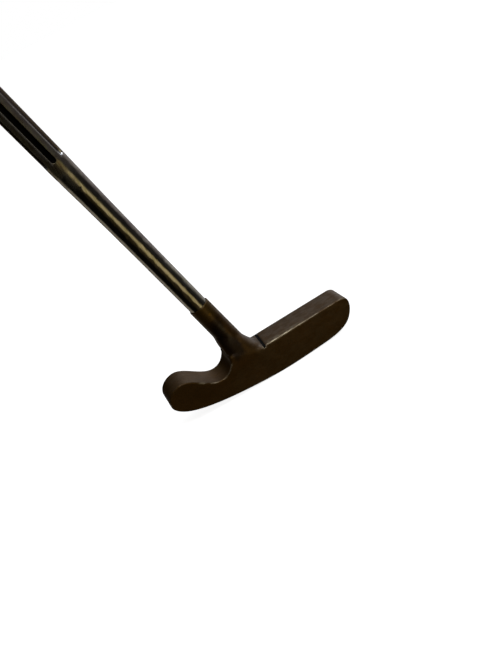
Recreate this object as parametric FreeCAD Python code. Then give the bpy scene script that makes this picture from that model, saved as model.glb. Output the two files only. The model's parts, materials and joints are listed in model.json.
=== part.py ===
import FreeCAD, Part
import math
import os

# A blade putter: cast brass head with an integral neck, fluted steel shaft, wound leather grip.
#
# Part frame, millimetres. The origin is the middle of the striking face, straight below the
# sight line. X runs along the blade from heel to toe, Y points out of the striking face and
# Z points up. The faces of the blade are vertical, so the shaft carries the lie and the loft.

os.makedirs("parts", exist_ok=True)
V = FreeCAD.Vector

# ---- blade ----
blade_thickness = 15.9
blade_depth = 18.9
top_z = blade_depth / 2
mid_y = -blade_thickness / 2
edge_round = 0.6

# ---- shaft line ----
lie = math.radians(75.0)
loft = math.radians(4.5)
axis_x = -10.8

# ---- neck ----
hosel_r = 5.6
hosel_foot_r = 5.95
flare_low_r = 5.70
rim_l = 34.9
rim_round = 0.3
foot_angle = math.radians(18.0)
foot_toe_x = -4.0
foot_heel_x = -19.9
flare_height = 11.5
flare_toe = 10.8
flare_heel = 7.35
flare_below = 3.2
flare_side = 7.7
flare_power = 3.0
flare_heel_power = 4.0
flare_slope = 0.8

# ---- joint between neck and shaft ----
bore_r = 5.15
bore_depth = 28.0
bond_below_rim = 0.2
bond_floor = 0.6
pin_r = 0.8
pin_below_rim = 5.5
pin_turn = math.radians(12.5)

# ---- sight line ----
slot_x = -0.2
slot_turn = 4.4
slot_width = 1.4
slot_depth = 1.0
fill_below = 0.25

# ---- shaft ----
wall = 0.5
tip_r = 4.70
rim_shaft_r = 5.03
swell_l = 112.0
swell_r = 5.38
flute_start_l = 131.0
flute_start_r = 5.66
flute_end_l = 470.0
parallel_l = 500.0
band_r = 7.2
band_length_bare = 88.0
butt_r = 7.35
club_length = 889.0
sole_l = -18.9
cap_thickness = 4.0

# ---- flutes ----
flute_count = 6
flute_turn = math.radians(-4.0)
flute_cut_r = 1.6
flute_floor = 1.2

# ---- grip ----
grip_length = 262.0
tape_thickness = 0.25
under_low_r = 8.9
under_high_r = 11.6
flat_low = 8.3
flat_high = 9.4
leather_thickness = 1.5
collar_length = 12.0
collar_low_r = 8.3
band_length = 13.0
band_thickness = 0.3
cap_overhang = 0.5
cap_round = 1.8
cap_seat_depth = 1.0
plug_length = 32.0
screw_r = 1.5
screw_length = 20.0
screw_head_r = 3.6
screw_head_height = 1.4
screw_head_taper = 0.8
screw_slot_width = 0.8
screw_slot_depth = 0.7

# ---- derived places along the shaft line, measured from the top line of the blade ----
butt_l = club_length + sole_l - cap_thickness
grip_l = butt_l - grip_length
tip_l = rim_l - bore_depth + bond_floor

# ---- directions ----
shaft_dir = V(-math.cos(loft) * math.cos(lie), math.sin(loft), math.cos(loft) * math.sin(lie))
toe_side = V(math.sin(lie), 0, math.cos(lie))
face_side = shaft_dir.cross(toe_side)
shaft_foot = V(axis_x, mid_y, top_z)


def on_axis(length):
    """Point of the shaft line at a distance above the top line of the blade."""
    return shaft_foot + shaft_dir * length


def around(angle):
    """Unit vector square to the shaft: 0 is the toe side, a quarter turn is the striking side."""
    return toe_side * math.cos(angle) + face_side * math.sin(angle)


def spline(points, start=None, end=None):
    """Smooth curve through points, with the direction given at one or both ends."""
    curve = Part.BSplineCurve()
    if start is None:
        curve.interpolate(Points=points)
    else:
        curve.interpolate(Points=points, InitialTangent=start, FinalTangent=end, Scale=False)
    return curve.toShape()


def corner_arc(corner, toward, away, length):
    """Arc that rounds a corner, touching both sides at a distance from it."""
    start = corner - toward * length
    end = corner + away * length
    middle = (away - toward).normalize()
    half = math.acos(middle.dot(away))
    radius = length * math.tan(half)
    gap = length / math.cos(half) - radius
    return Part.Arc(start, corner + middle * gap, end)


def shaft_frame():
    """Placement that lays a shape built along Z onto the shaft line, X to the toe side."""
    turn = FreeCAD.Rotation(toe_side, face_side, shaft_dir, "ZXY")
    return FreeCAD.Placement(shaft_foot, turn)


def turned(edges):
    """Solid turned from edges drawn in the XZ plane, set on the shaft line."""
    face = Part.Face(Part.Wire(edges))
    solid = face.revolve(V(0, 0, 0), V(0, 0, 1), 360)
    solid.Placement = shaft_frame()
    return solid


def rod(low_l, high_l, low_r, high_r):
    """Cylinder or cone on the shaft line between two places."""
    if abs(low_r - high_r) < 1e-6:
        return Part.makeCylinder(low_r, high_l - low_l, on_axis(low_l), shaft_dir)
    return Part.makeCone(low_r, high_r, high_l - low_l, on_axis(low_l), shaft_dir)


def save(shape, name):
    """Clean a sub-part and write it as its own STEP file."""
    clean = shape.removeSplitter()
    if clean.ShapeType == "Compound" and len(clean.Solids) == 1:
        clean = clean.Solids[0]
    clean.exportStep("parts/" + name + ".step")


# ---- head ----
def blade_outline():
    """Closed outline of the blade: flat top line, round toe, cambered sole, heel bulb and dip."""
    lower = [
        (45.6, 0.0),
        (49.5, -1.5),
        (50.3, -5.4),
        (49.1, -9.4),
        (45.8, -13.9),
        (40.4, -16.7),
        (27.5, -18.4),
        (6.0, -19.0),
        (-15.0, -17.6),
        (-36.0, -14.5),
        (-46.7, -11.6),
        (-53.9, -7.8),
        (-57.3, -3.0),
        (-56.4, 1.4),
        (-52.6, 4.9),
        (-47.2, 6.0),
        (-41.2, 3.2),
        (-35.4, -1.2),
        (-28.6, -4.2),
        (-23.7, -2.9),
        (-20.9, 0.2),
        (foot_heel_x, 2.8),
    ]
    points = [V(x, 0, top_z + z) for x, z in lower]
    round_end = spline(points, V(1, 0, 0), V(0, 0, 1))
    rise = V(-math.cos(foot_angle), 0, math.sin(foot_angle))
    foot_start = V(foot_toe_x, 0, top_z)
    foot_end = foot_start + rise * ((foot_toe_x - foot_heel_x) / math.cos(foot_angle))
    heel_bend = corner_arc(foot_end, V(0, 0, 1), rise * -1, (foot_end - points[-1]).Length)
    toe_bend = corner_arc(foot_start, rise * -1, V(1, 0, 0), 2.5)
    edges = [
        round_end,
        heel_bend.toShape(),
        Part.makeLine(heel_bend.EndPoint, toe_bend.StartPoint),
        toe_bend.toShape(),
        Part.makeLine(toe_bend.EndPoint, points[0]),
    ]
    return Part.Wire(edges)


def blade():
    """Blade of even thickness with the long edges rounded."""
    outline = blade_outline()
    outline.translate(V(0, -blade_thickness, 0))
    slab = Part.Face(outline).extrude(V(0, blade_thickness, 0))
    rims = []
    for edge in slab.Edges:
        ys = [vertex.Y for vertex in edge.Vertexes]
        if max(ys) - min(ys) < 0.01:
            rims.append(edge)
    return slab.makeFillet(edge_round, rims)


def flare_reach(angle, hollow, swell):
    """How far the neck spreads from the shaft line in one direction."""
    along = math.cos(angle)
    across = math.sin(angle)
    end_reach = flare_low_r + (flare_heel - flare_low_r) * swell
    power = 2 + (flare_heel_power - 2) * swell
    if along > 0:
        end_reach = flare_low_r + (flare_toe - flare_low_r) * hollow
        power = 2 + (flare_power - 2) * swell
    side_reach = flare_low_r + (flare_side - flare_low_r) * swell
    total = abs(along / end_reach) ** power + abs(across / side_reach) ** power
    return total ** (-1 / power)


def flare_ring(centre_l, hollow, swell):
    """Closed smooth ring round the shaft line, slanted like the foot of the neck."""
    centre = on_axis(centre_l)
    normal = V(math.sin(foot_angle), 0, math.cos(foot_angle))
    points = []
    for step in range(24):
        angle = 2 * math.pi * step / 24
        point = centre + around(angle) * flare_reach(angle, hollow, swell)
        slide = (centre - point).dot(normal) / shaft_dir.dot(normal)
        points.append(point + shaft_dir * slide)
    curve = Part.BSplineCurve()
    curve.interpolate(Points=points, PeriodicFlag=True)
    return Part.Wire(curve.toShape())


def flare():
    """Foot of the neck: hollow toward the toe, running straight down onto both faces and the dip."""
    normal = V(math.sin(foot_angle), 0, math.cos(foot_angle))
    foot_point = V(foot_toe_x, mid_y, top_z)
    foot_l = (foot_point - shaft_foot).dot(normal) / shaft_dir.dot(normal)
    rings = []
    for height in (1.0, 0.85, 0.7, 0.55, 0.4, 0.27, 0.16, 0.08, 0.03):
        hollow = (1 - math.sqrt(1 - (1 - height) ** 2)) / 0.76
        swell = 1 - (3 - flare_slope) * height ** 2 + (2 - flare_slope) * height ** 3
        rings.append(flare_ring(foot_l + flare_height * height, hollow, swell))
    rings.append(flare_ring(foot_l - 0.03 * flare_height, 1.12, 1.0))
    rings.append(flare_ring(foot_l - flare_below, 1.12, 1.0))
    return Part.makeLoft(rings, True, False)


def hosel():
    """Slightly tapered round post that takes the shaft, with a rounded rim."""
    post = rod(-2, rim_l, hosel_foot_r, hosel_r)
    rim = [edge for edge in post.Edges if (edge.CenterOfMass - on_axis(rim_l)).Length < 0.01]
    return post.makeFillet(rim_round, rim)


def pin_line():
    """Start and direction of the cross pin through the hosel."""
    direction = face_side * math.cos(pin_turn) * -1 + toe_side * math.sin(pin_turn)
    return on_axis(rim_l - pin_below_rim), direction


def pin_bar(radius, reach):
    """Straight round bar on the line of the cross pin."""
    centre, direction = pin_line()
    return Part.makeCylinder(radius, 2 * reach, centre - direction * reach, direction)


def slot_box():
    """Saw cut across the top line that carries the sight line, set a few degrees askew by hand."""
    corner = V(slot_x - slot_width / 2, -blade_thickness - 1, top_z - slot_depth)
    box = Part.makeBox(slot_width, blade_thickness + 2, slot_depth + 1, corner)
    return box.rotate(V(slot_x, mid_y, 0), V(0, 0, 1), -slot_turn)


def head_blank():
    """Blade and neck in one casting, before any cutting."""
    return blade().fuse([flare(), hosel()])


def putter_head(blank):
    """Casting with the blind bore for the shaft, the pin hole and the sight line cut."""
    bore = rod(rim_l - bore_depth, rim_l + 1, bore_r, bore_r)
    head = blank.cut(bore)
    head = head.cut(pin_bar(pin_r, hosel_r + 2))
    return head.cut(slot_box())


def sight_line_fill(blank):
    """Black filling of the saw cut, a touch below the top line."""
    fill = blank.common(slot_box())
    top = V(-5, -blade_thickness - 1, top_z - fill_below)
    return fill.cut(Part.makeBox(10, blade_thickness + 2, 5, top))


def hosel_pin():
    """Cross pin, peened flush with the outside of the hosel."""
    outside = rod(-2, rim_l, hosel_foot_r, hosel_r)
    return pin_bar(pin_r, hosel_r + 1).common(outside)


# ---- shaft ----
def shaft_profile(inset):
    """Side line of the shaft from tip to butt, moved in by an amount."""
    bends = [
        (tip_l, tip_r),
        (rim_l, rim_shaft_r),
        (62.0, 5.08),
        (90.0, 5.17),
        (swell_l, swell_r),
        (flute_start_l, flute_start_r),
    ]
    points = [V(radius - inset, 0, length) for length, radius in bends]
    taper = (band_r - flute_start_r) / (parallel_l - flute_start_l)
    lower = spline(points, V(0.004, 0, 1), V(taper, 0, 1))
    band_low = V(band_r - inset, 0, parallel_l)
    band_high = V(band_r - inset, 0, parallel_l + band_length_bare)
    step = V(butt_r - inset, 0, parallel_l + band_length_bare + 2)
    butt = V(butt_r - inset, 0, butt_l)
    stops = [points[-1], band_low, band_high, step, butt]
    upper = [Part.makeLine(a, b) for a, b in zip(stops, stops[1:])]
    foot = V(0, 0, tip_l)
    top = V(0, 0, butt_l)
    ends = [Part.makeLine(butt, top), Part.makeLine(top, foot), Part.makeLine(foot, points[0])]
    return [lower] + upper + ends


def flute(angle, radius):
    """Round-ended groove tool lying along the side of the shaft."""
    run = flute_cut_r
    low = on_axis(flute_start_l + run) + around(angle) * flute_centre(flute_start_l + run)
    high = on_axis(flute_end_l - run) + around(angle) * flute_centre(flute_end_l - run)
    body = Part.makeCylinder(radius, (high - low).Length, low, high - low)
    ends = [Part.makeSphere(radius, low), Part.makeSphere(radius, high)]
    return body.fuse(ends)


def flute_centre(length):
    """Distance of a groove's centre line from the shaft line, following the taper."""
    share = (length - flute_start_l) / (parallel_l - flute_start_l)
    outside = flute_start_r + share * (band_r - flute_start_r)
    return outside - flute_floor + flute_cut_r


def flute_angles():
    """Directions of the grooves round the shaft; the first lies near the back of the blade."""
    back = -math.pi / 2
    return [back + flute_turn + 2 * math.pi * step / flute_count for step in range(flute_count)]


def shaft():
    """Tapered steel tube with rolled grooves, its wall even all the way round."""
    outside = turned(shaft_profile(0))
    inside = turned(shaft_profile(wall))
    ribs = [flute(angle, flute_cut_r + wall) for angle in flute_angles()]
    grooves = [flute(angle, flute_cut_r) for angle in flute_angles()]
    tube = outside.cut(inside.cut(ribs))
    tube = tube.cut(grooves)
    return tube.cut(pin_bar(pin_r, hosel_r + 2))


def shaft_bond():
    """Epoxy between the tip of the shaft and the bore of the hosel."""
    sleeve = rod(rim_l - bore_depth, rim_l - bond_below_rim, bore_r, bore_r)
    sleeve = sleeve.cut(turned(shaft_profile(0)))
    return sleeve.cut(pin_bar(pin_r, hosel_r + 2))


# ---- grip ----
def paddle(low_l, high_l, skin):
    """Tapered round sleeve with one flat side for the thumbs, grown outward by a skin."""
    span = butt_l - grip_l
    low_share = (low_l - grip_l) / span
    high_share = (high_l - grip_l) / span
    low_r = under_low_r + low_share * (under_high_r - under_low_r) + skin
    high_r = under_low_r + high_share * (under_high_r - under_low_r) + skin
    low_flat = flat_low + low_share * (flat_high - flat_low) + skin
    high_flat = flat_low + high_share * (flat_high - flat_low) + skin
    body = rod(low_l, high_l, low_r, high_r)
    half = 20.0
    corners = []
    for length, flat in ((low_l, low_flat), (high_l, high_flat)):
        corners.append(on_axis(length) + around(0) * flat - around(math.pi / 2) * half)
        corners.append(on_axis(length) + around(0) * half * 2 - around(math.pi / 2) * half)
    loop = [corners[0], corners[1], corners[3], corners[2], corners[0]]
    waste = Part.Face(Part.makePolygon(loop)).extrude(around(math.pi / 2) * half * 2)
    return body.cut(waste)


def grip_tape():
    """Double-sided tape wound on the butt of the shaft."""
    outside = rod(grip_l, butt_l, butt_r + tape_thickness, butt_r + tape_thickness)
    return outside.cut(rod(grip_l - 1, butt_l + 1, butt_r, butt_r))


def grip_underlisting():
    """Rubber sleeve that gives the grip its taper and its flat."""
    hole = butt_r + tape_thickness
    return paddle(grip_l, butt_l, 0).cut(rod(grip_l - 1, butt_l + 1, hole, hole))


def grip_leather():
    """Leather strip wound over the rubber sleeve."""
    inside = paddle(grip_l, butt_l, 0)
    return paddle(grip_l, butt_l, leather_thickness).cut(inside)


def finishing_band():
    """Thin tape wound over the lower end of the leather."""
    high = grip_l + band_length
    inside = paddle(grip_l, high, leather_thickness)
    return paddle(grip_l, high, leather_thickness + band_thickness).cut(inside)


def grip_collar():
    """Rubber ring on the shaft that closes the lower end of the grip."""
    high_r = under_low_r + leather_thickness + band_thickness
    body = rod(grip_l - collar_length, grip_l, collar_low_r, high_r)
    return body.cut(rod(grip_l - collar_length - 1, grip_l + 1, butt_r, butt_r))


def butt_plug():
    """Wooden plug in the open end of the shaft that takes the cap screw."""
    plug = rod(butt_l - plug_length, butt_l, butt_r - wall, butt_r - wall)
    return plug.cut(rod(butt_l - screw_length, butt_l + 1, screw_r, screw_r))


def end_cap():
    """Plastic cap over the end of the grip, domed at the rim, with a seat for the screw."""
    radius = under_high_r + leather_thickness + cap_overhang
    cap = rod(butt_l, butt_l + cap_thickness, radius, radius)
    top_l = butt_l + cap_thickness
    top = [edge for edge in cap.Edges if (edge.CenterOfMass - on_axis(top_l)).Length < 0.01]
    cap = cap.makeFillet(cap_round, top)
    seat = rod(top_l - cap_seat_depth, top_l + 1, screw_head_r, screw_head_r)
    return cap.cut(rod(butt_l - 1, top_l, screw_r, screw_r)).cut(seat)


def cap_screw():
    """Round-headed screw with a slot, holding the cap to the plug."""
    seat_l = butt_l + cap_thickness - cap_seat_depth
    head_l = seat_l + screw_head_height
    shank = rod(butt_l - screw_length, seat_l, screw_r, screw_r)
    head = rod(seat_l, head_l, screw_head_r, screw_head_r - screw_head_taper)
    corner = V(-screw_head_r, -screw_slot_width / 2, head_l - screw_slot_depth)
    slot = Part.makeBox(2 * screw_head_r, screw_slot_width, screw_slot_depth + 1, corner)
    slot.Placement = shaft_frame()
    return shank.fuse(head).cut(slot)


def build():
    """Build and write every sub-part."""
    blank = head_blank()
    save(putter_head(blank), "putter_head")
    save(sight_line_fill(blank), "sight_line_fill")
    save(hosel_pin(), "hosel_pin")
    save(shaft_bond(), "shaft_bond")
    save(shaft(), "shaft")
    save(butt_plug(), "butt_plug")
    save(grip_tape(), "grip_tape")
    save(grip_underlisting(), "grip_underlisting")
    save(grip_leather(), "grip_leather")
    save(finishing_band(), "finishing_band")
    save(grip_collar(), "grip_collar")
    save(end_cap(), "end_cap")
    save(cap_screw(), "cap_screw")


build()
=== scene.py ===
import json
import math

import bpy
from mathutils import Matrix, Vector


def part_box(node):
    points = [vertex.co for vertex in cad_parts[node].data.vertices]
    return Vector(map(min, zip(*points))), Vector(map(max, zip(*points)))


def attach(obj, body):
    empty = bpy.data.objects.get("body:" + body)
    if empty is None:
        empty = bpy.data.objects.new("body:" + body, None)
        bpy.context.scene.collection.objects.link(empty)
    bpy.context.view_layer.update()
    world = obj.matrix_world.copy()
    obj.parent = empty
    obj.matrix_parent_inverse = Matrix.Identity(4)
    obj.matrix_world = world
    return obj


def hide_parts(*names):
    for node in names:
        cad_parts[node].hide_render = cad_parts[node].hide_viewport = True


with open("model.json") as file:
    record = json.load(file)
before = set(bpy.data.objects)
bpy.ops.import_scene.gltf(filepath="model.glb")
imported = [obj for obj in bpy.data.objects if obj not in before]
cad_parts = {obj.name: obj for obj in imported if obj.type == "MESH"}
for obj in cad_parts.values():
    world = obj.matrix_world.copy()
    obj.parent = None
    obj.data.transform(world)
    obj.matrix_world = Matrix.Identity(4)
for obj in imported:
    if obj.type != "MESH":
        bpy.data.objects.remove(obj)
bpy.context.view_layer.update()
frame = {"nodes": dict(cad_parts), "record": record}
nodes = frame["nodes"]
mounts = {m["name"]: m for m in frame["record"]["mounts"]}

# ---------------------------------------------------------------- places taken from the frame
clip = mounts["shaft_clip"]
shaft_dir = -Vector(clip["axis"]).normalized()
clip_point = Vector(clip["pos_m"])
head_low = Vector(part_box("putter_head")[0])
line_low, line_high = (Vector(corner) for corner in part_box("sight_line_fill"))
thickness = line_high.y - line_low.y
# the top of the black filling, a quarter of a millimetre below the top line of the blade
top_z = line_high.z

# the foot of the shaft line is where it crosses that level
foot_step = (top_z - clip_point.z) / shaft_dir.z
shaft_foot = clip_point + shaft_dir * foot_step
toe_side = Vector((shaft_dir.z, 0, -shaft_dir.x)).normalized()
face_side = shaft_dir.cross(toe_side)

flute_low = 0.1310
flute_high = 0.4700
flute_first = math.radians(-94.0)
flute_step = math.radians(60.0)
flute_skin = 0.00566
flute_taper = 0.00417


def on_axis(length):
    """Point of the shaft line at a distance from its foot."""
    return shaft_foot + shaft_dir * length


def along_shaft(point):
    """Distance of a point from the foot of the shaft line, measured along the line."""
    return (point - shaft_foot).dot(shaft_dir)


# ---------------------------------------------------------------- node helpers
class Shader:
    """A material or world node tree with short ways to add what the surfaces need."""

    def __init__(self, owner):
        owner.use_nodes = True
        self.tree = owner.node_tree
        self.tree.nodes.clear()

    def add(self, kind, **settings):
        node = self.tree.nodes.new(kind)
        for name, value in settings.items():
            setattr(node, name, value)
        return node

    def join(self, value, socket):
        if isinstance(value, bpy.types.NodeSocket):
            self.tree.links.new(value, socket)
        else:
            socket.default_value = value

    def math(self, operation, first, second=0.0, clamp=False):
        node = self.add("ShaderNodeMath", operation=operation, use_clamp=clamp)
        self.join(first, node.inputs[0])
        self.join(second, node.inputs[1])
        return node.outputs[0]

    def times(self, first, *others):
        """Product of two or more values."""
        for other in others:
            first = self.math("MULTIPLY", first, other)
        return first

    def vector(self, operation, first, second=(0, 0, 0)):
        node = self.add("ShaderNodeVectorMath", operation=operation)
        self.join(first, node.inputs[0])
        self.join(second, node.inputs[1])
        return node.outputs["Value"] if operation in ("DOT_PRODUCT", "LENGTH") else node.outputs[0]

    def ramp(self, value, low, high, start=0.0, end=1.0):
        """Smooth step from start to end as value goes from low to high."""
        node = self.add("ShaderNodeMapRange", interpolation_type="SMOOTHSTEP")
        for socket, item in zip(node.inputs[:5], (value, low, high, start, end)):
            self.join(item, socket)
        return node.outputs[0]

    def mix(self, share, first, second):
        node = self.add("ShaderNodeMix", data_type="RGBA")
        self.join(share, node.inputs[0])
        self.join(first, node.inputs[6])
        self.join(second, node.inputs[7])
        return node.outputs[2]

    def place(self, stretch=(1, 1, 1)):
        """Object coordinates in metres, stretched."""
        spot = self.add("ShaderNodeTexCoord").outputs["Object"]
        return self.vector("MULTIPLY", spot, stretch)

    def noise(self, where, scale, detail=4.0, rough=0.6):
        node = self.add("ShaderNodeTexNoise")
        self.join(where, node.inputs["Vector"])
        node.inputs["Scale"].default_value = scale
        node.inputs["Detail"].default_value = detail
        node.inputs["Roughness"].default_value = rough
        return node.outputs[0]

    def cells(self, where, scale):
        node = self.add("ShaderNodeTexVoronoi")
        self.join(where, node.inputs["Vector"])
        node.inputs["Scale"].default_value = scale
        return node.outputs["Distance"]

    def bump(self, height, depth, strength=1.0):
        node = self.add("ShaderNodeBump")
        node.inputs["Strength"].default_value = strength
        node.inputs["Distance"].default_value = depth
        self.join(height, node.inputs["Height"])
        return node.outputs[0]

    def surface(self, **inputs):
        """The Principled surface, wired to the output."""
        shader = self.add("ShaderNodeBsdfPrincipled")
        for name, value in inputs.items():
            self.join(value, shader.inputs[name.replace("_", " ")])
        out = self.add("ShaderNodeOutputMaterial")
        self.tree.links.new(shader.outputs[0], out.inputs[0])
        return shader


def material(name, colour):
    made = bpy.data.materials.new(name)
    made.diffuse_color = (*colour, 1)
    return made, Shader(made)


def dress(node, made):
    """Gives a CAD node its material."""
    nodes[node].data.materials.clear()
    nodes[node].data.materials.append(made)


# ---------------------------------------------------------------- camera
def place_camera():
    look = Vector((0.1472, 0.8698, -0.4709)).normalized()
    side = look.cross(Vector((0.5160, 0.3386, 0.7868))).normalized()
    up = side.cross(look)
    data = bpy.data.cameras.new("camera")
    data.lens = 38.91
    data.sensor_width = 36.0
    data.clip_start = 0.01
    camera = bpy.data.objects.new("camera", data)
    turn = Matrix((side, up, -look)).transposed().to_4x4()
    camera.matrix_world = Matrix.Translation((-0.0578, -0.3279, 0.1918)) @ turn
    bpy.context.scene.collection.objects.link(camera)
    bpy.context.scene.camera = camera


# ---------------------------------------------------------------- studio
def backdrop_material():
    made, s = material("backdrop_white", (1, 1, 1))
    glow = s.add("ShaderNodeEmission")
    glow.inputs[0].default_value = (1, 1, 1, 1)
    glow.inputs[1].default_value = 1.0
    out = s.add("ShaderNodeOutputMaterial")
    s.tree.links.new(glow.outputs[0], out.inputs[0])
    return made


def floor_material():
    made, s = material("floor_white", (1, 1, 1))
    s.surface(
        Base_Color=(0.8, 0.8, 0.8, 1),
        Roughness=1.0,
        Specular_IOR_Level=0.0,
        Emission_Color=(1, 1, 1, 1),
        Emission_Strength=0.90,
    )
    return made


def stage_object(name, mesh, made):
    thing = bpy.data.objects.new(name, mesh)
    mesh.materials.append(made)
    bpy.context.scene.collection.objects.link(thing)
    thing.visible_diffuse = False
    thing.visible_glossy = False
    thing.visible_transmission = False
    thing.visible_shadow = False


def build_stage():
    """A pale floor under the sole and a plain pale surround, both seen only by the camera."""
    half = 6.0
    level = head_low.z - 0.0002
    mesh = bpy.data.meshes.new("floor")
    corners = [(-half, -half, level), (half, -half, level), (half, half, level), (-half, half, level)]
    mesh.from_pydata(corners, [], [(0, 1, 2, 3)])
    stage_object("floor", mesh, floor_material())
    dome = bpy.data.meshes.new("surround")
    rings, turns, radius = 16, 32, 5.9
    points = []
    for ring in range(rings + 1):
        lift = math.pi * (ring / rings - 0.5)
        for turn in range(turns):
            swing = 2 * math.pi * turn / turns
            flat = radius * math.cos(lift)
            points.append((flat * math.cos(swing), flat * math.sin(swing), radius * math.sin(lift)))
    faces = []
    for ring in range(rings):
        for turn in range(turns):
            after = (turn + 1) % turns
            low, high = ring * turns, (ring + 1) * turns
            faces.append((low + turn, low + after, high + after, high + turn))
    dome.from_pydata(points, [], faces)
    stage_object("surround", dome, backdrop_material())


def build_world():
    """Soft surroundings: pale above, four soft glows, a small cool window and a dark doorway."""
    world = bpy.data.worlds.new("studio")
    bpy.context.scene.world = world
    s = Shader(world)
    direction = s.add("ShaderNodeTexCoord").outputs["Generated"]
    overhead = s.vector("DOT_PRODUCT", direction, Vector((0.55, 0.15, 0.82)).normalized())
    upper = s.ramp(overhead, -0.05, 1.0)
    total = s.mix(upper, (0.003, 0.0025, 0.002, 1), (0.255, 0.243, 0.225, 1))
    glows = [
        ("warm_front", (0.34, -0.94, -0.09), 0.905, 0.985, (0.40, 0.33, 0.17)),
        ("grey_toe", (0.62, 0.76, -0.15), 0.62, 1.0, (0.27, 0.26, 0.26)),
        ("low_front", (0.16, -0.84, -0.52), 0.70, 1.0, (0.040, 0.028, 0.012)),
        ("grey_heel", (-0.68, 0.52, -0.52), 0.84, 0.99, (0.24, 0.215, 0.18)),
        ("cool_window", (0.62, 0.42, 0.66), 0.955, 0.985, (1.3, 1.5, 1.8)),
    ]
    for name, towards, rim, core, colour in glows:
        facing = s.vector("DOT_PRODUCT", direction, Vector(towards).normalized())
        tint = s.add("ShaderNodeVectorMath", operation="SCALE", label=name)
        tint.inputs[0].default_value = colour
        s.join(s.ramp(facing, rim, core), tint.inputs["Scale"])
        total = s.vector("ADD", total, tint.outputs[0])
    # a dark doorway to the toe side, which the tube shows next to the warm streak
    facing = s.vector("DOT_PRODUCT", direction, Vector((0.84, -0.546, 0.02)).normalized())
    shade = s.add("ShaderNodeVectorMath", operation="SCALE", label="dark_doorway")
    s.join(total, shade.inputs[0])
    s.join(s.ramp(facing, 0.82, 0.93, 1.0, 0.22), shade.inputs["Scale"])
    total = shade.outputs[0]
    back = s.add("ShaderNodeBackground")
    s.join(total, back.inputs[0])
    out = s.add("ShaderNodeOutputWorld")
    s.tree.links.new(back.outputs[0], out.inputs[0])


def area_light(name, place, target, size, power):
    data = bpy.data.lights.new(name, "AREA")
    data.shape = "DISK"
    data.size = size
    data.energy = power
    light = bpy.data.objects.new(name, data)
    light.location = place
    aim = Vector(target) - Vector(place)
    light.rotation_euler = aim.to_track_quat("-Z", "Y").to_euler()
    light.visible_camera = False
    bpy.context.scene.collection.objects.link(light)


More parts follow.
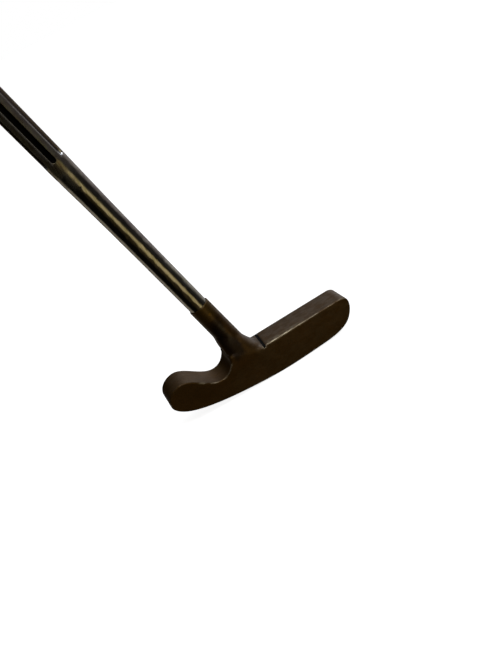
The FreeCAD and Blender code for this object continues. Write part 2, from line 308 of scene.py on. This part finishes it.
# ---------------------------------------------------------------- materials
def aged_brass():
    """Browned brass: mottled and scratched, golden at the rim of the neck, painted shade down the near side
    of the neck, and worn edges and top front painted bright as wear with a painted highlight on them.
    """
    made, s = material("aged_brass", (0.14, 0.07, 0.02))
    spot = s.place()
    arm = s.vector("SUBTRACT", spot, shaft_foot)
    rise = s.vector("DOT_PRODUCT", arm, shaft_dir)
    toe = s.vector("DOT_PRODUCT", arm, toe_side)
    blotch = s.ramp(s.noise(spot, 70, 5, 0.62), 0.35, 0.68)
    speck = s.ramp(s.noise(spot, 900, 4, 0.7), 0.42, 0.66)
    brown = s.mix(blotch, (0.088, 0.043, 0.005, 1), (0.112, 0.053, 0.007, 1))
    brown = s.mix(s.math("MULTIPLY", speck, 0.30), brown, (0.05, 0.024, 0.004, 1))
    # painted shade: a dark band runs down the near side of the neck into its foot
    ragged = s.math("MULTIPLY", s.math("SUBTRACT", blotch, 0.5), 0.004)
    near_side = s.ramp(s.vector("DOT_PRODUCT", arm, face_side), 0.002, -0.001)
    neck_painted_shade = s.times(s.ramp(s.math("ADD", rise, ragged), 0.029, 0.022), s.ramp(rise, 0.000, 0.004))
    band = s.times(s.ramp(s.math("ADD", toe, ragged), 0.0030, -0.0005), s.ramp(toe, -0.0068, -0.0045))
    neck_painted_shade = s.times(neck_painted_shade, band, near_side)
    brown = s.mix(s.math("MULTIPLY", neck_painted_shade, 0.9), brown, (0.020, 0.009, 0.003, 1))
    golden = s.ramp(s.math("ADD", rise, s.math("MULTIPLY", ragged, 2.0)), 0.024, 0.034)
    brown = s.mix(s.math("MULTIPLY", golden, 0.85), brown, (0.125, 0.070, 0.009, 1))
    # worn long edges of the blade, painted pale as bare worn brass with a painted highlight on them,
    # brightest beside the sight line
    soft = s.add("ShaderNodeBevel", samples=8)
    soft.inputs["Radius"].default_value = 0.0018
    slope = s.add("ShaderNodeSeparateXYZ")
    s.join(soft.outputs[0], slope.inputs[0])
    facing = s.math("POWER", slope.outputs[1], 2.0)
    edge = s.math("MULTIPLY", s.math("MULTIPLY", facing, s.math("SUBTRACT", 1.0, facing)), 4.0)
    parts = s.add("ShaderNodeSeparateXYZ")
    s.join(spot, parts.inputs[0])
    on_neck = s.times(
        s.ramp(parts.outputs[0], -0.0200, -0.0185),
        s.ramp(parts.outputs[0], -0.001, -0.003),
        s.ramp(parts.outputs[2], 0.0050, 0.0070),
    )
    on_neck = s.math("MAXIMUM", on_neck, s.ramp(parts.outputs[2], 0.0100, 0.0115))
    patch = s.ramp(s.noise(s.place((1, 2.5, 2.5)), 210, 5, 0.68), 0.40, 0.60)
    reach = s.ramp(parts.outputs[0], 0.034, 0.006, 0.30, 1.0)
    reach = s.math("MULTIPLY", reach, s.ramp(parts.outputs[0], -0.022, -0.012, 0.38, 1.0))
    chewed = s.math("MULTIPLY", s.math("SUBTRACT", s.noise(spot, 420, 3, 0.6), 0.5), 1.1)
    rubbed = s.ramp(s.math("ADD", edge, chewed), 0.30, 0.80)
    worn = s.math("MULTIPLY", rubbed, s.math("MULTIPLY", patch, reach))
    worn = s.math("MULTIPLY", worn, s.math("SUBTRACT", 1.0, on_neck))
    # paler band along the front of the top beside the sight line: rubbed wear with a painted highlight
    front = s.ramp(parts.outputs[1], 0.0042 - thickness, 0.0010 - thickness)
    span = s.times(s.ramp(parts.outputs[0], 0.0008, 0.0030), s.ramp(parts.outputs[0], 0.034, 0.006))
    top_rub_and_highlight = s.times(
        front,
        span,
        s.ramp(parts.outputs[2], top_z - 0.0012, top_z - 0.0003),
        s.ramp(s.noise(spot, 330, 5, 0.7), 0.36, 0.64),
    )
    colour = s.mix(s.math("MULTIPLY", top_rub_and_highlight, 0.7), brown, (0.46, 0.38, 0.25, 1))
    # bare worn brass on the long edges, with a painted highlight on them
    colour = s.mix(worn, colour, (0.92, 0.82, 0.60, 1))
    # relief
    scratch = s.noise(s.place((60, 900, 1400)), 1.0, 3, 0.6)
    pits = s.ramp(s.cells(spot, 420), 0.0, 0.22)
    relief = s.math("ADD", s.math("MULTIPLY", scratch, 0.5), s.math("MULTIPLY", pits, 0.25))
    relief = s.math("ADD", relief, s.math("MULTIPLY", s.noise(spot, 240, 4, 0.6), 0.8))
    rough = s.ramp(s.noise(spot, 130, 4, 0.6), 0.3, 0.7, 0.38, 0.52)
    tarnish = s.ramp(s.noise(s.place((1, 1.6, 1.6)), 210, 6, 0.66), 0.36, 0.66)
    bumpy = s.bump(relief, 0.00016, 0.5)
    # the foot of the neck melts into the faces of the blade
    melt = s.add("ShaderNodeBevel", samples=8)
    near = s.math("MULTIPLY", s.ramp(rise, 0.016, 0.006), s.ramp(rise, -0.010, -0.002))
    near = s.times(near, s.times(s.ramp(toe, 0.014, 0.009), s.ramp(toe, -0.0085, -0.0055)))
    s.join(s.ramp(near, 0.0, 1.0, 0.0003, 0.0030), melt.inputs["Radius"])
    s.join(melt.outputs[0], bumpy.node.inputs["Normal"])
    # the sheen is weaker at the heel, in the foot of the neck and on the golden rim
    foot = s.times(near, s.ramp(toe, 0.0065, 0.0030))
    up_neck = s.times(s.ramp(rise, 0.016, 0.010), s.ramp(rise, -0.006, 0.000))
    hollow = s.times(s.ramp(toe, -0.0030, -0.0048), up_neck)
    sheen = s.times(
        s.ramp(tarnish, 0.0, 1.0, 0.95, 0.40),
        s.ramp(parts.outputs[0], -0.034, -0.010, 0.42, 1.0),
        s.ramp(foot, 0.0, 1.0, 1.0, 0.25),
        s.ramp(hollow, 0.0, 1.0, 1.0, 0.35),
        s.ramp(golden, 0.0, 1.0, 1.0, 0.6),
    )
    s.surface(
        Base_Color=colour,
        Metallic=0.70,
        Roughness=rough,
        Normal=bumpy,
        Coat_Weight=sheen,
        Coat_Roughness=0.30,
        Coat_IOR=1.5,
        Coat_Normal=bumpy,
    )
    return made


def pitted_chrome():
    """Bright plate with fine lines along the tube, dull and pitted below the flutes, dirt and painted shade
    in the middle groove, painted shade in the other grooves, painted highlights on the flute lips and at the
    flute ends, and painted purple-brown shade on the toe side.
    """
    made, s = material("pitted_chrome", (0.6, 0.6, 0.58))
    spot = s.place()
    arm = s.vector("SUBTRACT", spot, shaft_foot)
    rise = s.vector("DOT_PRODUCT", arm, shaft_dir)
    carry = s.add("ShaderNodeVectorMath", operation="SCALE")
    carry.inputs[0].default_value = shaft_dir
    s.join(rise, carry.inputs["Scale"])
    reach = s.vector("LENGTH", s.vector("SUBTRACT", arm, carry.outputs[0]))
    skin = s.math("ADD", s.math("MULTIPLY", s.math("SUBTRACT", rise, flute_low), flute_taper), flute_skin)
    sunk = s.math("SUBTRACT", skin, reach)
    grain = s.noise(spot, 400, 4, 0.65)
    ragged = s.math("MULTIPLY", s.math("SUBTRACT", grain, 0.5), 0.0003)
    above_start = s.ramp(rise, flute_low - 0.0004, flute_low + 0.0006)
    inside = s.times(above_start, s.ramp(rise, flute_high, flute_high - 0.003))
    # groove mask by depth: the middle flute is painted near-black as dirt and painted shade in its hollow
    groove_dirt_and_shade = s.math("MULTIPLY", s.ramp(s.math("ADD", sunk, ragged), 0.00018, 0.00050), inside)
    toe = s.vector("DOT_PRODUCT", arm, toe_side)
    face = s.vector("DOT_PRODUCT", arm, face_side)
    middle = s.ramp(s.math("ABSOLUTE", toe), 0.0024, 0.0032, 1.0, 0.0)
    # painted shade inside the side flutes
    side_flute_painted_shade = s.math("MULTIPLY", groove_dirt_and_shade, s.math("SUBTRACT", 1.0, middle))
    groove_dirt_and_shade = s.math("MULTIPLY", groove_dirt_and_shade, middle)
    # painted highlight at the low end of the side flutes
    flute_end_painted_glint = s.math("MULTIPLY", side_flute_painted_shade, s.ramp(rise, flute_low + 0.0034, flute_low + 0.0018))
    side_flute_painted_shade = s.math("SUBTRACT", side_flute_painted_shade, flute_end_painted_glint)
    # angle from the middle of the nearest flute, and a painted highlight along the lip on the heel side of
    # each
    turn = s.math("SUBTRACT", s.math("ARCTAN2", face, toe), flute_first - flute_step / 2)
    turn = s.math("SUBTRACT", s.math("FLOORED_MODULO", turn, flute_step), flute_step / 2)
    flute_lip_highlight = s.math("MULTIPLY", s.ramp(turn, -0.375, -0.320), s.ramp(turn, -0.235, -0.285))
    flute_lip_highlight = s.times(flute_lip_highlight, inside, s.ramp(s.noise(spot, 45, 3, 0.6), 0.30, 0.55, 0.25, 1.0))
    # dull, browned zone round the start of the flutes
    cloud = s.ramp(s.noise(spot, 110, 5, 0.62), 0.35, 0.66)
    wander = s.math("MULTIPLY", s.math("SUBTRACT", cloud, 0.5), 0.020)
    place_up = s.math("ADD", rise, wander)
    dull = s.math("MULTIPLY", s.ramp(place_up, 0.112, 0.140), s.ramp(place_up, 0.34, 0.20))
    plate = s.mix(cloud, (0.62, 0.60, 0.56, 1), (0.54, 0.52, 0.47, 1))
    browned = s.times(dull, s.ramp(cloud, 0.0, 1.0, 0.75, 1.0))
    plate = s.mix(browned, plate, (0.195, 0.150, 0.095, 1))
    # fine drawn lines along the tube, some of them tinted
    lines = s.noise(s.place((2600, 2600, 30)), 1.0, 2, 0.5)
    tinted = s.ramp(s.noise(s.place((1700, 1700, 22)), 1.0, 3, 0.6), 0.46, 0.62, 0.0, 0.75)
    plate = s.mix(tinted, plate, (0.36, 0.35, 0.21, 1))
    # painted purple-brown shade on the toe side below the flutes
    toe_side_painted_shade = s.math("MULTIPLY", s.ramp(toe, 0.0014, 0.0030), s.ramp(place_up, 0.045, 0.085))
    toe_side_painted_shade = s.math("MULTIPLY", toe_side_painted_shade, s.ramp(cloud, 0.0, 1.0, 0.55, 0.95))
    plate = s.mix(toe_side_painted_shade, plate, (0.215, 0.180, 0.185, 1))
    rust = s.ramp(s.cells(spot, 560), 0.24, 0.10)
    share = s.ramp(dull, 0.0, 1.0, 0.05, 1.0)
    rust = s.times(rust, s.ramp(s.noise(spot, 60, 3, 0.6), 0.45, 0.60), share)
    plate = s.mix(rust, plate, (0.06, 0.035, 0.018, 1))
    # painted shade inside the side flutes
    plate = s.mix(s.math("MULTIPLY", side_flute_painted_shade, 0.85), plate, (0.105, 0.080, 0.078, 1))
    # painted highlight along the flute lips
    plate = s.mix(s.math("MULTIPLY", flute_lip_highlight, 0.9), plate, (0.80, 0.79, 0.80, 1))
    # painted highlight at the flute ends
    plate = s.mix(flute_end_painted_glint, plate, (0.90, 0.92, 0.97, 1))
    # dirt and painted shade: the middle flute near-black
    plate = s.mix(groove_dirt_and_shade, plate, (0.004, 0.0035, 0.003, 1))
    rough = s.ramp(dull, 0.0, 1.0, 0.12, 0.26)
    rough = s.math("ADD", rough, s.math("MULTIPLY", s.math("MAXIMUM", rust, groove_dirt_and_shade), 0.35))
    rough = s.math("SUBTRACT", rough, s.math("MULTIPLY", flute_end_painted_glint, 0.14))
    relief = s.math("SUBTRACT", s.math("MULTIPLY", lines, 0.3), rust)
    relief = s.math("ADD", relief, s.math("MULTIPLY", s.math("MULTIPLY", grain, dull), 0.8))
    bumpy = s.bump(relief, 0.00004, 0.6)
    crest = s.add("ShaderNodeBevel", samples=6)
    crest.inputs["Radius"].default_value = 0.00035
    s.join(crest.outputs[0], bumpy.node.inputs["Normal"])
    s.surface(
        Base_Color=plate,
        Metallic=s.math("MAXIMUM", s.ramp(dull, 0.0, 1.0, 1.0, 0.74), groove_dirt_and_shade),
        Roughness=rough,
        Normal=bumpy,
    )
    return made


def plain_brass(name, colour, rough):
    made, s = material(name, colour)
    spot = s.place()
    tone = s.ramp(s.noise(spot, 500, 4, 0.6), 0.3, 0.7)
    dark = tuple(0.6 * part for part in colour)
    s.surface(
        Base_Color=s.mix(tone, (*colour, 1), (*dark, 1)),
        Metallic=1.0,
        Roughness=s.ramp(tone, 0.0, 1.0, rough, rough + 0.12),
        Normal=s.bump(tone, 0.00003, 0.4),
    )
    return made


def enamel():
    made, s = material("black_enamel", (0.01, 0.01, 0.01))
    tone = s.noise(s.place(), 900, 3, 0.6)
    s.surface(
        Base_Color=(0.0015, 0.0015, 0.002, 1),
        Specular_IOR_Level=0.12,
        Roughness=s.ramp(tone, 0.3, 0.7, 0.5, 0.65),
        Normal=s.bump(tone, 0.00005, 0.5),
    )
    return made


def rubber(name, colour, rough):
    made, s = material(name, colour)
    spot = s.place()
    tone = s.ramp(s.noise(spot, 260, 5, 0.6), 0.3, 0.7)
    pale = tuple(1.7 * part + 0.004 for part in colour)
    s.surface(
        Base_Color=s.mix(tone, (*colour, 1), (*pale, 1)),
        Roughness=s.ramp(tone, 0.0, 1.0, rough, rough + 0.12),
        Normal=s.bump(s.noise(spot, 2200, 2, 0.5), 0.00005, 0.5),
    )
    return made


def simple(name, colour, rough, scale):
    """Matt inner pieces: tape, plug and epoxy."""
    made, s = material(name, colour)
    tone = s.ramp(s.noise(s.place(), scale, 4, 0.6), 0.3, 0.7)
    dark = tuple(0.7 * part for part in colour)
    s.surface(
        Base_Color=s.mix(tone, (*colour, 1), (*dark, 1)),
        Roughness=rough,
        Normal=s.bump(tone, 0.0001, 0.4),
    )
    return made


# ---------------------------------------------------------------- wound leather grip
grip_low = 0.60415
grip_high = 0.86605
under_low = 0.0089
under_high = 0.0116
flat_low = 0.0083
flat_high = 0.0094
wrap_pitch = 0.0205
wrap_lap = 0.13
wrap_thickness = 0.0013
wrap_clearance = 0.00012
strip_radius = 0.0112


def under_radius(angle, share):
    """Outline of the rubber under the leather, with the flat on the toe side rounded at its corners."""
    radius = under_low + (under_high - under_low) * share
    flat = flat_low + (flat_high - flat_low) * share
    limit = max(math.cos(angle), 0.0)
    if limit <= 0:
        return radius
    level = flat / limit
    soft = 14
    return (radius ** -soft + level ** -soft) ** (-1 / soft)


def leather_material():
    """Dark leather strip: grain, staggered rows of small holes, a paler rubbed edge on every turn."""
    made, s = material("grip_leather", (0.03, 0.02, 0.014))
    along = s.add("ShaderNodeUVMap", uv_map="strip").outputs[0]
    parts = s.add("ShaderNodeSeparateXYZ")
    s.join(along, parts.inputs[0])
    run, across = parts.outputs[0], parts.outputs[1]
    spot = s.place()
    grain = s.cells(spot, 900)
    crease = s.ramp(s.noise(spot, 180, 6, 0.65), 0.40, 0.62)
    worn = s.ramp(s.noise(spot, 35, 5, 0.62), 0.42, 0.64)
    # holes in rows, every other row set half a step along
    row_step, hole_step = 0.0036, 0.0036
    row = s.math("DIVIDE", across, row_step)
    shift = s.math("MULTIPLY", s.math("MODULO", s.math("FLOOR", row), 2.0), 0.5)
    place_run = s.math("ADD", s.math("DIVIDE", run, hole_step), shift)
    off_run = s.math("SUBTRACT", s.math("FRACT", place_run), 0.5)
    off_row = s.math("SUBTRACT", s.math("FRACT", row), 0.5)
    gap = s.math("SQRT", s.math("ADD", s.math("POWER", off_run, 2.0), s.math("POWER", off_row, 2.0)))
    middle = s.math("MULTIPLY", s.ramp(across, 0.0054, 0.0056), s.ramp(across, 0.0182, 0.0180))
    hole = s.math("MULTIPLY", s.ramp(gap, 0.19, 0.12), middle)
    edge = s.ramp(across, 0.0195, 0.0222)
    colour = s.mix(crease, (0.045, 0.027, 0.017, 1), (0.085, 0.052, 0.032, 1))
    colour = s.mix(s.math("MULTIPLY", worn, 0.45), colour, (0.15, 0.095, 0.058, 1))
    paler = s.times(edge, s.ramp(crease, 0.0, 1.0, 0.25, 0.75))
    colour = s.mix(paler, colour, (0.24, 0.165, 0.105, 1))
    colour = s.mix(hole, colour, (0.003, 0.002, 0.002, 1))
    relief = s.math("ADD", s.math("MULTIPLY", grain, 0.25), s.math("MULTIPLY", crease, 0.25))
    relief = s.math("SUBTRACT", relief, s.math("MULTIPLY", hole, 1.2))
    s.surface(
        Base_Color=colour,
        Roughness=s.ramp(worn, 0.0, 1.0, 0.48, 0.66),
        Specular_IOR_Level=0.35,
        Normal=s.bump(relief, 0.00025, 0.8),
    )
    return made


def wrap_profile(across):
    """Height of the strip over the rubber: low where the next turn covers it, proud at its lapping edge."""
    rise = min(across, 1.0)
    height = 0.35 + 0.65 * rise ** 0.8
    if across > 1.0:
        height = 1.0 + 0.06 * math.sin(math.pi * (across - 1.0) / wrap_lap)
    return height


def build_leather():
    """One leather strip wound up the grip, each turn lapping over the one below."""
    steps = 72
    bounds = (0.0, 0.06, 0.14, 0.26, 0.40, 0.55, 0.70, 0.84, 0.95, 1.03, 1.09, 1.12, 1.13, 1.13)
    skins = [wrap_profile(place) for place in bounds]
    skins[0] = 0.10
    skins[-2] = 0.78
    skins[-1] = 0.30
    turns = (grip_high - grip_low) / wrap_pitch + 2
    count = round(turns * steps)
    columns = len(bounds)
    points, spots = [], []
    for step in range(count + 1):
        turn = step / steps
        angle = 2 * math.pi * turn
        start = grip_low + (turn - 1.0 - wrap_lap) * wrap_pitch
        side = toe_side * math.cos(angle) + face_side * math.sin(angle)
        wobble = 0.00012 * math.sin(3.1 * turn) + 0.00008 * math.sin(7.7 * turn + 1.0)
        for place, skin in zip(bounds, skins):
            level = min(max(start + place * wrap_pitch + wobble, grip_low), grip_high)
            share = (level - grip_low) / (grip_high - grip_low)
            radius = under_radius(angle, share) + wrap_clearance + skin * wrap_thickness
            points.append(on_axis(level) + side * radius)
            spots.append((turn * 2 * math.pi * strip_radius, place * wrap_pitch))
    faces = []
    for step in range(count):
        for column in range(columns - 1):
            corner = step * columns + column
            face = (corner, corner + columns, corner + columns + 1, corner + 1)
            levels = [along_shaft(points[k]) for k in face]
            if max(levels) - min(levels) > 1e-5:
                faces.append(face)
    mesh = bpy.data.meshes.new("wound_leather")
    mesh.from_pydata(points, [], faces)
    layer = mesh.uv_layers.new(name="strip")
    for loop in mesh.loops:
        layer.data[loop.index].uv = spots[loop.vertex_index]
    mesh.validate()
    for face in mesh.polygons:
        face.use_smooth = True
    piece = bpy.data.objects.new("wound_leather", mesh)
    bpy.context.scene.collection.objects.link(piece)
    mesh.materials.append(leather_material())
    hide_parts("grip_leather")
    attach(piece, "root")


def build_materials():
    dress("putter_head", aged_brass())
    dress("shaft", pitted_chrome())
    dress("hosel_pin", plain_brass("pin_brass", (0.26, 0.16, 0.045), 0.34))
    dress("cap_screw", plain_brass("screw_brass", (0.60, 0.47, 0.24), 0.22))
    dress("sight_line_fill", enamel())
    dress("grip_collar", rubber("collar_rubber", (0.010, 0.010, 0.010), 0.5))
    dress("end_cap", rubber("cap_plastic", (0.010, 0.009, 0.009), 0.50))
    dress("finishing_band", rubber("band_tape", (0.012, 0.012, 0.012), 0.3))
    dress("grip_underlisting", rubber("under_rubber", (0.02, 0.018, 0.016), 0.7))
    dress("grip_tape", simple("cloth_tape", (0.55, 0.5, 0.4), 0.9, 1500))
    dress("butt_plug", simple("plug_wood", (0.42, 0.28, 0.15), 0.7, 300))
    dress("shaft_bond", simple("bond_epoxy", (0.20, 0.14, 0.06), 0.4, 600))


place_camera()
build_stage()
build_world()
area_light("front_top", (0.22, -0.75, 1.30), (0, 0, 0), 0.7, 5.0)
build_materials()
build_leather()

bpy.context.scene.view_settings.view_transform = "Standard"
